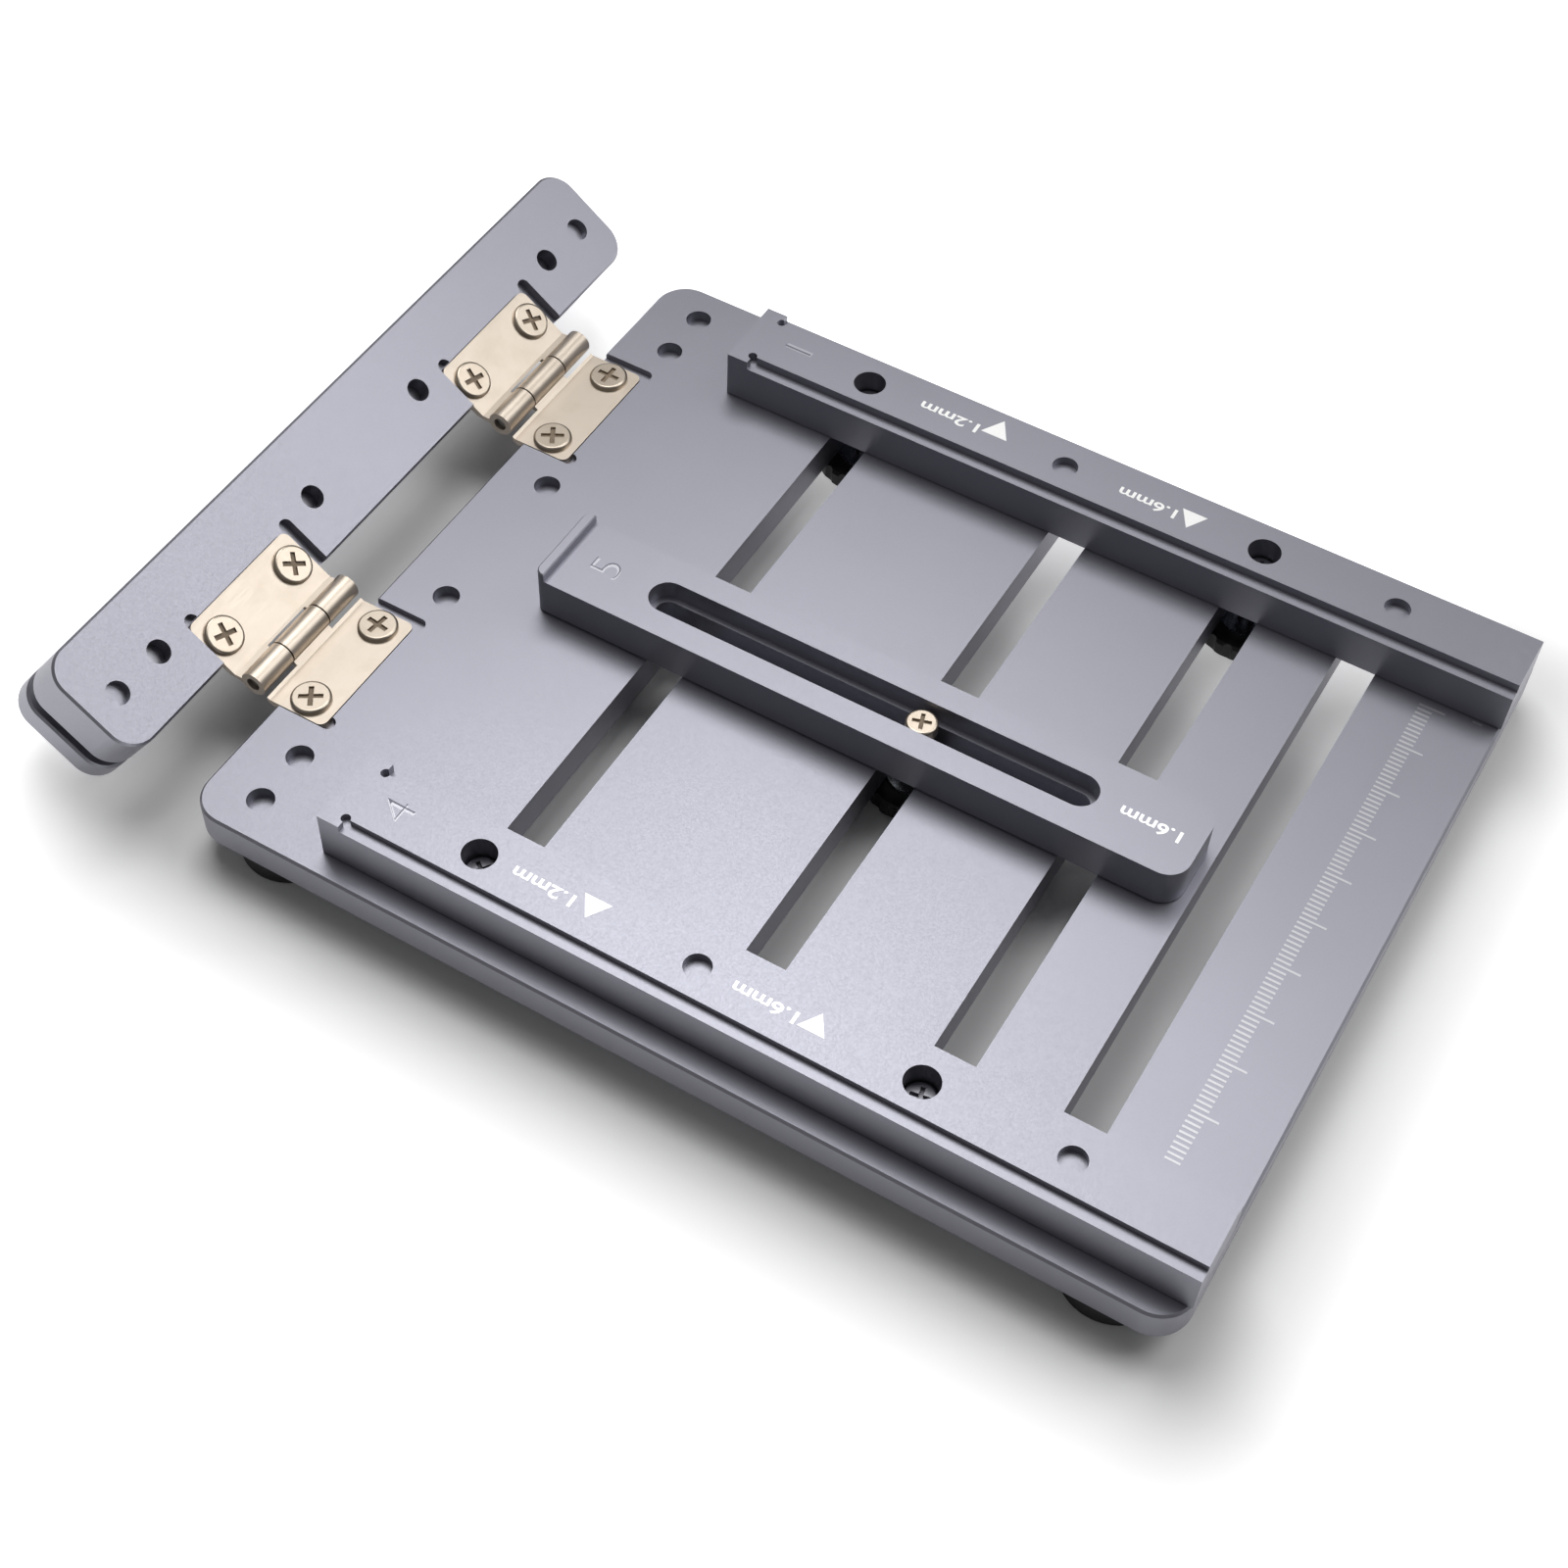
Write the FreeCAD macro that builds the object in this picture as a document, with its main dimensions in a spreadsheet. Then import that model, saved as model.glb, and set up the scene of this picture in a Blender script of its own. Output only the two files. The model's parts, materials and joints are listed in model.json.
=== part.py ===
"""Manual stencil printer: a slotted base plate, two stepped rails, a centre support and a hinged foil clamp.

Millimetres, +Z up, +Y from the ruler edge to the hinges. The origin lies on the table, in the middle of
the whole outline, so the feet stand on Z = 0.
"""
import FreeCAD, Part
import Sketcher
import math
import os
import re

SIZES = {
    # base plate, measured from its front edge towards the hinges
    "base_width": 145.5,
    "base_depth": 172.0,
    "base_thickness": 6.3,
    "base_corner": 6.0,
    "edge_chamfer": 0.4,
    "foot_height": 4.8,
    "foot_radius": 9.0,
    "foot_side_inset": 9.3,
    "foot_end_inset": 12.9,
    "foot_taper": 0.5,
    "foot_round": 0.6,
    # transverse slots
    "slot_width": 7.0,
    "slot_margin": 5.4,
    "front_slot": 25.7,
    "rail_slot_front": 47.1,
    "centre_slot": 79.5,
    "rail_slot_rear": 123.0,
    # fits
    "slide_gap": 0.1,
    "running_fit": 0.05,
    "screw_clearance": 0.15,
    "cut_over": 2.0,
    # rails
    "rail_length": 148.0,
    "rail_width": 14.2,
    "rail_height": 9.2,
    "rail_step_inner": 1.6,
    "rail_step_outer": 1.2,
    "rail_ledge": 2.0,
    "rail_tab": 4.0,
    "relief_radius": 0.8,
    "rail_left_inset": 11.2,
    "rail_right_inset": 13.8,
    "pocket_front": 23.2,
    "pocket_rear": 84.5,
    "pocket_radius": 2.25,
    "pocket_depth": 1.6,
    "head_bore_depth": 6.2,
    "spigot_depth": 3.0,
    # centre support
    "centre_x": 1.5,
    "centre_front": 30.7,
    "centre_width": 16.0,
    "centre_length": 117.4,
    "centre_front_corner": 4.0,
    "centre_rear_corner": 1.5,
    "centre_lip": 1.8,
    "centre_slot_margin": 17.7,
    "centre_slot_radius": 3.3,
    "centre_slot_step": 3.6,
    "centre_slot_inner": 2.2,
    # hinges
    "hinge_inset": 37.55,
    "hinge_setback": 4.65,
    "hinge_rise": 2.0,
    "leaf_shift": 0.8,
    "leaf_length": 25.4,
    "leaf_reach": 13.6,
    "leaf_thickness": 1.2,
    "leaf_corner": 1.4,
    "leaf_screw_row": 8.65,
    "leaf_screw_pitch": 18.2,
    "recess_width": 27.4,
    "recess_clearance": 0.2,
    "recess_relief": 1.3,
    "knuckle_radius": 2.25,
    "knuckle_middle": 9.4,
    "knuckle_gap": 0.3,
    "knuckle_web": 0.8,
    "pin_radius": 1.15,
    "pin_inset": 0.6,
    # foil clamp: hinge bar above, clamp bar below
    "rest_tilt": 36.0,
    "bar_inset": 0.95,
    "bar_width": 20.0,
    "bar_corner": 5.0,
    "bar_setback": 5.3,
    "bar_rise": 1.3,
    "bar_thickness": 10.4,
    "foil_gap": 3.0,
    "clamp_thickness": 5.4,
    "clamp_row": 14.2,
    "clamp_inner": 15.2,
    "clamp_outer_inset": 16.3,
    "clamp_tip_depth": 3.4,
    "dowel_inset": 6.2,
    "dowel_radius": 2.0,
    "dowel_tip_depth": 5.6,
    "dowel_roof": 2.6,
    "tip_pocket_radius": 2.3,
    "tip_pocket_depth": 2.2,
    # screws, thumb nuts and washers
    "rail_shank": 1.5,
    "rail_head_radius": 2.7,
    "rail_head_height": 2.2,
    "leaf_shank": 1.95,
    "leaf_head_radius": 3.4,
    "leaf_head_height": 0.9,
    "leaf_screw_length": 5.6,
    "clamp_shank": 2.0,
    "clamp_head_radius": 3.5,
    "clamp_head_height": 2.4,
    "clamp_head_bore": 2.6,
    "clamp_head_clearance": 0.3,
    "cross_reach": 0.6,
    "cross_width": 0.13,
    "cross_depth": 0.7,
    "head_round": 0.5,
    "washer_radius": 5.0,
    "washer_thickness": 0.5,
    "nut_radius": 8.2,
    "nut_height": 3.4,
    "nut_chamfer": 0.5,
    "flute_radius": 1.1,
}
FLUTES = 16

# Where the cross recesses of the leaf screws came to rest, in degrees: on the base, on the bar
SCREW_TURNS = {
    ("left", "outer"): (33, 70),
    ("left", "inner"): (82, 50),
    ("right", "inner"): (30, 75),
    ("right", "outer"): (0, 65),
}

# Lengths that follow from the driving ones
BASE_TOP = "(foot_height + base_thickness)"
SLIDE_LEVEL = f"({BASE_TOP} + slide_gap)"
STACK = "(bar_thickness + foil_gap + clamp_thickness)"
REACH = (f"((bar_setback + bar_width) * cos(rest_tilt * 1deg)"
         f" + (bar_rise + {STACK} - edge_chamfer) * sin(rest_tilt * 1deg))")
FRONT_Y = f"(-(base_depth + hinge_setback + {REACH}) / 2)"
AXIS_Y = f"({FRONT_Y} + base_depth + hinge_setback)"
AXIS_Z = f"({BASE_TOP} + hinge_rise)"
HEAD_BORE = "(rail_head_radius + screw_clearance)"
CENTRE_HEIGHT = "(rail_height - rail_step_inner)"
HALF_BAR = "(base_width / 2 - bar_inset)"
HINGE_X = "(base_width / 2 - hinge_inset)"
CLAMP_OUTER = f"({HALF_BAR} - clamp_outer_inset)"
DOWEL_X = f"({HALF_BAR} - dowel_inset)"
WASHER_TOP = "(foot_height - slide_gap)"
NUT_TOP = f"({WASHER_TOP} - washer_thickness - slide_gap)"

doc = FreeCAD.newDocument("StencilPrinter")
sheet = doc.addObject("Spreadsheet::Sheet", "Sizes")
for row, (size_name, size) in enumerate(SIZES.items(), start=1):
    sheet.set(f"A{row}", size_name)
    sheet.set(f"B{row}", str(size))
    sheet.setAlias(f"B{row}", size_name)
doc.recompute()

ALIAS = re.compile(r"\b(" + "|".join(SIZES) + r")\b")
made = []


def linked(text):
    """Turn the size names in a formula into references to the sheet."""
    return ALIAS.sub(r"Sizes.\1", str(text))


def value(text):
    """The number that a formula of sizes gives now."""
    return float(sheet.evalExpression(linked(text)))


def new_body(label):
    """An empty body, kept in the list of finished sub-parts."""
    body = doc.addObject("PartDesign::Body", label)
    body.Label = label
    made.append(body)
    return body


def place(body, x="0", y="0", z="0"):
    """Stand a body in the part's frame."""
    for axis, text in (("x", x), ("y", y), ("z", z)):
        body.setExpression(f"Placement.Base.{axis}", linked(text))


def place_on_bar(body, x="0", y="0", z="0", turn=0):
    """Stand a body on the tilted foil clamp, from the hinge axis: y across the bar, z normal to it."""
    body.Placement = FreeCAD.Placement(FreeCAD.Vector(), FreeCAD.Rotation(FreeCAD.Vector(1, 0, 0), 0))
    body.setExpression("Placement.Rotation.Angle", linked(f"(rest_tilt + {turn}) * 1deg"))
    place(body, x,
          f"{AXIS_Y} + ({y}) * cos(rest_tilt * 1deg) - ({z}) * sin(rest_tilt * 1deg)",
          f"{AXIS_Z} + ({y}) * sin(rest_tilt * 1deg) + ({z}) * cos(rest_tilt * 1deg)")


class Outline:
    """A fully dimensioned sketch on one of a body's own planes, at a level along the plane's normal."""

    def __init__(self, body, name, level="0", plane="XY_Plane"):
        self.sketch = body.newObject("Sketcher::SketchObject", name)
        support = [item for item in body.Origin.OriginFeatures if item.Role == plane][0]
        self.sketch.AttachmentSupport = (support, [""])
        self.sketch.MapMode = "FlatFace"
        self.sketch.setExpression("AttachmentOffset.Base.z", linked(level))

    def dimension(self, kind, geometry, point, text):
        """Add one driving dimension from the sketch's origin, or a radius."""
        if kind == "Radius":
            rule = Sketcher.Constraint(kind, geometry, value(text))
        else:
            rule = Sketcher.Constraint(kind, -1, 1, geometry, point, value(text))
        index = self.sketch.addConstraint(rule)
        self.sketch.setExpression(f"Constraints[{index}]", linked(text))

    def locate(self, geometry, point, x, y):
        """Fix one point of a piece of geometry."""
        self.dimension("DistanceX", geometry, point, x)
        self.dimension("DistanceY", geometry, point, y)

    def polygon(self, points):
        """A closed outline of straight lines."""
        corners = [FreeCAD.Vector(value(x), value(y), 0) for x, y in points]
        lines = [self.sketch.addGeometry(Part.LineSegment(start, end))
                 for start, end in zip(corners, corners[1:] + corners[:1])]
        for index, line in enumerate(lines):
            after = lines[(index + 1) % len(lines)]
            self.sketch.addConstraint(Sketcher.Constraint("Coincident", line, 2, after, 1))
            self.locate(line, 1, *points[index])
        return self

    def rectangle(self, x0, x1, y0, y1):
        """A rectangle between two positions on each axis."""
        return self.polygon([(x0, y0), (x1, y0), (x1, y1), (x0, y1)])

    def circle(self, x, y, radius):
        """One circle."""
        centre = FreeCAD.Vector(value(x), value(y), 0)
        ring = self.sketch.addGeometry(Part.Circle(centre, FreeCAD.Vector(0, 0, 1), value(radius)))
        self.locate(ring, 3, x, y)
        self.dimension("Radius", ring, 0, radius)
        return self

    def obround(self, first, last, radius):
        """A slot with round ends, whose end centres are two points on one axis."""
        start = FreeCAD.Vector(value(first[0]), value(first[1]), 0)
        end = FreeCAD.Vector(value(last[0]), value(last[1]), 0)
        size_now = value(radius)
        heading = math.atan2(end.y - start.y, end.x - start.x)
        side = FreeCAD.Vector(-math.sin(heading), math.cos(heading), 0) * size_now
        up = FreeCAD.Vector(0, 0, 1)
        cap_start = self.sketch.addGeometry(Part.ArcOfCircle(
            Part.Circle(start, up, size_now), heading + math.pi / 2, heading + 3 * math.pi / 2))
        cap_end = self.sketch.addGeometry(Part.ArcOfCircle(
            Part.Circle(end, up, size_now), heading - math.pi / 2, heading + math.pi / 2))
        right = self.sketch.addGeometry(Part.LineSegment(start - side, end - side))
        left = self.sketch.addGeometry(Part.LineSegment(end + side, start + side))
        for one, other in ((cap_start, right), (right, cap_end), (cap_end, left), (left, cap_start)):
            self.sketch.addConstraint(Sketcher.Constraint("Tangent", one, 2, other, 1))
        self.sketch.addConstraint(Sketcher.Constraint("Equal", cap_start, cap_end))
        self.locate(cap_start, 3, *first)
        self.locate(cap_end, 3, *last)
        self.dimension("Radius", cap_start, 0, radius)
        return self


def pad(body, outline, name, length, downward=False):
    """Raise an outline into a solid."""
    feature = body.newObject("PartDesign::Pad", name)
    feature.Profile = outline.sketch
    feature.Reversed = downward
    feature.setExpression("Length", linked(length))
    doc.recompute()
    return feature


def pocket(body, outline, name, depth=None):
    """Cut an outline downwards, to a depth or right through, and make sure that it cuts."""
    before = body.Shape.Volume
    feature = body.newObject("PartDesign::Pocket", name)
    feature.Profile = outline.sketch
    if depth is None:
        feature.Type = "ThroughAll"
    else:
        feature.setExpression("Length", linked(depth))
    doc.recompute()
    if not body.Shape.Volume < before:
        raise RuntimeError(f"{body.Label}: {name} cuts nothing")
    return feature


def dress(body, kind, name, edges, property_name, size_text):
    """Fillet or chamfer named edges of the body as it is so far."""
    base = body.Tip
    feature = body.newObject(kind, name)
    feature.Base = (base, edges)
    feature.setExpression(property_name, linked(size_text))
    doc.recompute()
    return feature


def upright_edges(body, test=lambda x, y: True):
    """Names of the straight edges along Z that pass a test of their place."""
    names = []
    for number, edge in enumerate(body.Tip.Shape.Edges, start=1):
        ends = [vertex.Point for vertex in edge.Vertexes]
        if len(ends) == 2 and math.hypot(ends[0].x - ends[1].x, ends[0].y - ends[1].y) < 1e-6:
            if test(ends[0].x, ends[0].y):
                names.append(f"Edge{number}")
    return names


def rim_edges(body, level):
    """Names of the edges that lie in one level plane."""
    height = value(level)
    return [f"Edge{number}" for number, edge in enumerate(body.Tip.Shape.Edges, start=1)
            if abs(edge.BoundBox.ZMin - height) < 1e-6 and abs(edge.BoundBox.ZMax - height) < 1e-6]


def round_corners(body, radius, test=lambda x, y: True):
    """Fillet the upright corners."""
    return dress(body, "PartDesign::Fillet", "Corners", upright_edges(body, test), "Radius", radius)


def break_edges(body, levels, size_text="edge_chamfer"):
    """Chamfer the rims of a plate."""
    edges = [edge for level in levels for edge in rim_edges(body, level)]
    return dress(body, "PartDesign::Chamfer", "BrokenEdges", edges, "Size", size_text)


def turned(label, profile):
    """A turned piece: a profile of radius and height, spun about Z."""
    body = new_body(label)
    outline = Outline(body, "Profile", plane="XZ_Plane").polygon(profile)
    feature = body.newObject("PartDesign::Revolution", "Turned")
    feature.Profile = outline.sketch
    feature.ReferenceAxis = (outline.sketch, ["V_Axis"])
    feature.Angle = 360
    doc.recompute()
    return body


def screw(label, shank, length, head_radius, head_height, turn):
    """A pan head screw, its seat at Z = 0 and its shank down, with a cross recess turned by some degrees."""
    body = turned(label, [("0", head_height), (head_radius, head_height), (head_radius, "0"),
                          (shank, "0"), (shank, f"-({length})"), ("0", f"-({length})")])
    dress(body, "PartDesign::Fillet", "HeadRound", rim_edges(body, head_height)[:1], "Radius", "head_round")
    corners = []
    for quarter in range(4):
        for along, across in (("cross_width", "-cross_width"), ("cross_reach", "-cross_width"),
                              ("cross_reach", "cross_width")):
            angle = f"({turn + 90 * quarter} * 1deg)"
            corners.append((f"{head_radius} * (({along}) * cos{angle} - ({across}) * sin{angle})",
                            f"{head_radius} * (({along}) * sin{angle} + ({across}) * cos{angle})"))
    pocket(body, Outline(body, "CrossOutline", head_height).polygon(corners), "CrossRecess", "cross_depth")
    return body


def leaf_centres():
    """The two hinges: a name and the middle of each leaf."""
    return [("left", f"(-{HINGE_X} - leaf_shift)"), ("right", f"({HINGE_X} - leaf_shift)")]


def recess_centres():
    """The middles of the two milled hinge recesses."""
    return [f"(-{HINGE_X})", HINGE_X]


def clamp_screw_places():
    """The four clamping screws across the bar."""
    return [f"(-{CLAMP_OUTER})", "(-clamp_inner)", "clamp_inner", CLAMP_OUTER]


def cut_hinge_recesses(body, level, inner_end, open_end, depth, screw_row, screw_depth):
    """Mill the two leaf recesses with corner reliefs and tap two screw holes in each."""
    floors = Outline(body, "RecessOutline", level)
    reliefs = Outline(body, "ReliefOutline", level)
    for centre in recess_centres():
        ends = [f"{centre} - recess_width / 2", f"{centre} + recess_width / 2"]
        floors.rectangle(ends[0], ends[1], inner_end, open_end)
        reliefs.circle(f"{ends[0]} + recess_relief", inner_end, "recess_relief")
        reliefs.circle(f"{ends[1]} - recess_relief", inner_end, "recess_relief")
    pocket(body, floors, "HingeRecess", depth)
    pocket(body, reliefs, "CornerRelief", depth)
    taps = Outline(body, "LeafTapOutline", level)
    for _, centre in leaf_centres():
        for sign in "-+":
            taps.circle(f"{centre} {sign} leaf_screw_pitch / 2", screw_row, "leaf_shank + running_fit")
    pocket(body, taps, "LeafTap", screw_depth)


def make_base_plate():
    """The slotted plate, its front edge at Y = 0 and its underside at Z = 0."""
    body = new_body("base_plate")
    top = "base_thickness"
    pad(body, Outline(body, "PlateOutline").rectangle(
        "-base_width / 2", "base_width / 2", "0", "base_depth"), "Plate", top)
    round_corners(body, "base_corner")
    break_edges(body, ("0", top))
    slots = Outline(body, "SlotOutline", top)
    end = "(base_width / 2 - slot_margin - slot_width / 2)"
    for position in ("front_slot", "rail_slot_front", "centre_slot", "rail_slot_rear"):
        slots.obround((f"-{end}", position), (end, position), "slot_width / 2")
    pocket(body, slots, "Slots")
    tips = Outline(body, "TipPocketOutline", top)
    for position in clamp_screw_places() + [f"(-{DOWEL_X})", DOWEL_X]:
        tips.circle(position, "base_depth + hinge_setback - clamp_row", "tip_pocket_radius")
    pocket(body, tips, "TipPockets", "tip_pocket_depth")
    cut_hinge_recesses(body, top, "base_depth + hinge_setback - leaf_reach - recess_clearance",
                       "base_depth + cut_over", "leaf_thickness",
                       "base_depth + hinge_setback - leaf_screw_row", None)
    place(body, y=FRONT_Y, z="foot_height")


def make_feet():
    """Four stick-on rubber feet, tapered and rounded at the table."""
    across = "(base_width / 2 - foot_side_inset)"
    for y_name, y in (("front", "foot_end_inset"), ("rear", "base_depth - foot_end_inset")):
        for x_name, x in (("left", f"-{across}"), ("right", across)):
            foot = turned(f"foot_{y_name}_{x_name}", [
                ("0", "0"), ("foot_radius - foot_taper", "0"), ("foot_radius", "foot_height"), ("0", "foot_height")])
            dress(foot, "PartDesign::Fillet", "FootRound", rim_edges(foot, "0")[:1], "Radius", "foot_round")
            place(foot, x, f"{FRONT_Y} + {y}")


def make_hinge_leaf(label, side, keeps_middle):
    """A rolled hinge leaf from the hinge axis: side -1 lies on the base, side 1 on the bar."""
    body = new_body(label)
    reach = f"({side} * leaf_reach)"
    wall = "((pin_radius + knuckle_radius) / 2)"
    half = "(leaf_length / 2)"
    profile = [
        (reach, "-hinge_rise"), (reach, "-hinge_rise - leaf_thickness"),
        (f"{side} * (knuckle_radius + knuckle_web + leaf_thickness / 2)", "-hinge_rise - leaf_thickness"),
        (f"{side} * {wall} * cos(70deg)", f"-{wall} * sin(70deg)"),
        (f"{side} * {wall} * cos(30deg)", f"-{wall} * sin(30deg)"),
        (f"{side} * (knuckle_radius + knuckle_web)", "-hinge_rise")]
    pad(body, Outline(body, "LeafProfile", f"-{half}", "YZ_Plane").polygon(profile), "Leaf", "leaf_length")
    pad(body, Outline(body, "BarrelProfile", f"-{half}", "YZ_Plane").circle("0", "0", "knuckle_radius"),
        "Barrel", "leaf_length")
    round_corners(body, "leaf_corner", lambda x, y: abs(y - value(reach)) < 0.01)
    bore = body.newObject("PartDesign::Pocket", "PinBore")
    bore.Profile = Outline(body, "BoreProfile", f"-{half}", "YZ_Plane").circle(
        "0", "0", "pin_radius + running_fit").sketch
    bore.Reversed = True
    bore.Type = "ThroughAll"
    doc.recompute()
    gaps = Outline(body, "KnuckleGapOutline", "knuckle_radius + cut_over")
    near = f"{-side} * (knuckle_radius + cut_over)"
    far = f"{side} * (knuckle_radius + knuckle_gap)"
    if keeps_middle:
        for sign in ("-1", "1"):
            gaps.rectangle(f"{sign} * knuckle_middle / 2", f"{sign} * ({half} + cut_over)", near, far)
    else:
        notch = "(knuckle_middle / 2 + knuckle_gap)"
        gaps.rectangle(f"-{notch}", notch, near, far)
    pocket(body, gaps, "KnuckleGaps")
    holes = Outline(body, "ScrewHoleOutline", "0")
    for sign in "-+":
        holes.circle(f"{sign}leaf_screw_pitch / 2", f"{side} * leaf_screw_row", "leaf_shank + screw_clearance")
    pocket(body, holes, "ScrewHoles")
    return body


def make_hinges():
    """Two butt hinges: a leaf on the base, a leaf on the bar, a pin, and two screws in each leaf."""
    for name, centre in leaf_centres():
        place(make_hinge_leaf(f"hinge_{name}_base_leaf", -1, True), centre, AXIS_Y, AXIS_Z)
        place_on_bar(make_hinge_leaf(f"hinge_{name}_bar_leaf", 1, False), centre)
        pin = new_body(f"hinge_{name}_pin")
        reach = "(leaf_length / 2 - pin_inset)"
        pad(pin, Outline(pin, "PinProfile", f"-{reach}", "YZ_Plane").circle("0", "0", "pin_radius"),
            "Pin", f"2 * {reach}")
        place(pin, centre, AXIS_Y, AXIS_Z)
        sizes = ("leaf_shank", "leaf_screw_length", "leaf_head_radius", "leaf_head_height")
        for end, sign in (("outer", "-"), ("inner", "+")) if name == "left" else (("inner", "-"), ("outer", "+")):
            base_turn, bar_turn = SCREW_TURNS[name, end]
            x = f"{centre} {sign} leaf_screw_pitch / 2"
            place(screw(f"hinge_{name}_base_screw_{end}", *sizes, base_turn), x,
                  f"{AXIS_Y} - leaf_screw_row", f"{AXIS_Z} - hinge_rise")
            place_on_bar(screw(f"hinge_{name}_bar_screw_{end}", *sizes, bar_turn), x,
                         "leaf_screw_row", "-hinge_rise")


def bar_blank(body, level, thickness):
    """A rounded bar across the part, its underside at a level below the hinge axis."""
    pad(body, Outline(body, "BarOutline", level).rectangle(
        f"-{HALF_BAR}", HALF_BAR, "bar_setback", "bar_setback + bar_width"), "Bar", thickness)
    round_corners(body, "bar_corner")
    break_edges(body, (level, f"{level} + {thickness}"))


def make_foil_clamp():
    """The hinge bar, the clamp bar under it, four clamping screws and two dowel pins."""
    hinge_bar = new_body("hinge_bar")
    top = "(-bar_rise)"
    bar_blank(hinge_bar, f"({top} - bar_thickness)", "bar_thickness")
    threads = Outline(hinge_bar, "ThreadOutline", top)
    for position in clamp_screw_places():
        threads.circle(position, "clamp_row", "clamp_shank + running_fit")
    pocket(hinge_bar, threads, "Threads")
    bores = Outline(hinge_bar, "DowelBoreOutline", f"{top} - dowel_roof")
    pockets = Outline(hinge_bar, "TipPocketOutline", top)
    for position in (f"(-{DOWEL_X})", DOWEL_X):
        bores.circle(position, "clamp_row", "dowel_radius + running_fit")
        pockets.circle(position, "clamp_row", "clamp_shank + running_fit")
    pocket(hinge_bar, bores, "DowelBores")
    pocket(hinge_bar, pockets, "TipPockets", "tip_pocket_depth - 0.3")
    cut_hinge_recesses(hinge_bar, top, "leaf_reach + recess_clearance", "bar_setback - cut_over",
                       "hinge_rise - bar_rise + leaf_thickness", "leaf_screw_row",
                       "hinge_rise - bar_rise + leaf_screw_length + screw_clearance")
    place_on_bar(hinge_bar)

    clamp_bar = new_body("clamp_bar")
    underside = f"(-bar_rise - {STACK})"
    bar_blank(clamp_bar, underside, "clamp_thickness")
    holes = Outline(clamp_bar, "ScrewHoleOutline", f"{underside} + clamp_thickness")
    for position in clamp_screw_places():
        holes.circle(position, "clamp_row", "clamp_shank + screw_clearance")
    pocket(clamp_bar, holes, "ScrewHoles")
    bores = Outline(clamp_bar, "HeadBoreOutline", f"{underside} + clamp_head_bore")
    for position in clamp_screw_places():
        bores.circle(position, "clamp_row", "clamp_head_radius + clamp_head_clearance")
    pocket(clamp_bar, bores, "HeadBores")
    seats = Outline(clamp_bar, "DowelSeatOutline", f"{underside} + clamp_thickness")
    for position in (f"(-{DOWEL_X})", DOWEL_X):
        seats.circle(position, "clamp_row", "dowel_radius")
    pocket(clamp_bar, seats, "DowelSeats", "clamp_thickness / 2")
    place_on_bar(clamp_bar)

    for number, position in enumerate(clamp_screw_places(), start=1):
        piece = screw(f"clamp_screw_{number}", "clamp_shank", f"{STACK} - clamp_head_bore - clamp_tip_depth",
                      "clamp_head_radius", "clamp_head_height", 20 * number)
        place_on_bar(piece, position, "clamp_row", f"{underside} + clamp_head_bore", turn=180)
    for name, position in (("left", f"(-{DOWEL_X})"), ("right", DOWEL_X)):
        length = f"({STACK} - clamp_thickness / 2 - dowel_tip_depth)"
        dowel = turned(f"dowel_{name}", [("0", "0"), ("dowel_radius", "0"), ("dowel_radius", length), ("0", length)])
        place_on_bar(dowel, position, "clamp_row", f"{underside} + clamp_thickness / 2")


def make_rail(name, inner, x):
    """A stepped rail: a low ledge for thick boards inside, a shallow one outside, a full-width end stop."""
    body = new_body(f"rail_{name}")
    top = "rail_height"
    pad(body, Outline(body, "RailOutline").rectangle("-rail_width / 2", "rail_width / 2", "0", "rail_length"),
        "Rail", top)
    spigots = Outline(body, "SpigotOutline")
    for position in ("rail_slot_front", "rail_slot_rear"):
        spigots.circle("0", position, "slot_width / 2 - slide_gap")
    pad(body, spigots, "Spigots", "spigot_depth", downward=True)
    stop = "(rail_length - rail_tab)"
    for side, depth in ((inner, "rail_step_inner"), (-inner, "rail_step_outer")):
        wall = f"{side} * (rail_width / 2 - rail_ledge)"
        edge = f"{side} * (rail_width / 2 + cut_over)"
        pocket(body, Outline(body, "LedgeOutline", top).rectangle(wall, edge, "-cut_over", stop), "Ledge", depth)
        pocket(body, Outline(body, "ReliefOutline", top).circle(wall, stop, "relief_radius"), "Relief", depth)
    pockets = Outline(body, "PinPocketOutline", top)
    bores = Outline(body, "HeadBoreOutline", top)
    shanks = Outline(body, "ShankHoleOutline", top)
    for position in ("pocket_front", "pocket_rear"):
        pockets.circle("0", position, "pocket_radius")
    for position in ("rail_slot_front", "rail_slot_rear"):
        bores.circle("0", position, HEAD_BORE)
        shanks.circle("0", position, "rail_shank + screw_clearance")
    pocket(body, pockets, "PinPockets", "pocket_depth")
    pocket(body, bores, "HeadBores", "head_bore_depth")
    pocket(body, shanks, "ShankHoles")
    place(body, x, FRONT_Y, SLIDE_LEVEL)
    seat = f"({SLIDE_LEVEL} + rail_height - head_bore_depth)"
    for end, position, turn in (("front", "rail_slot_front", 10), ("rear", "rail_slot_rear", 55)):
        make_fastener(f"rail_{name}_{{}}_{end}", x, f"{FRONT_Y} + {position}", seat, turn)


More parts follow.
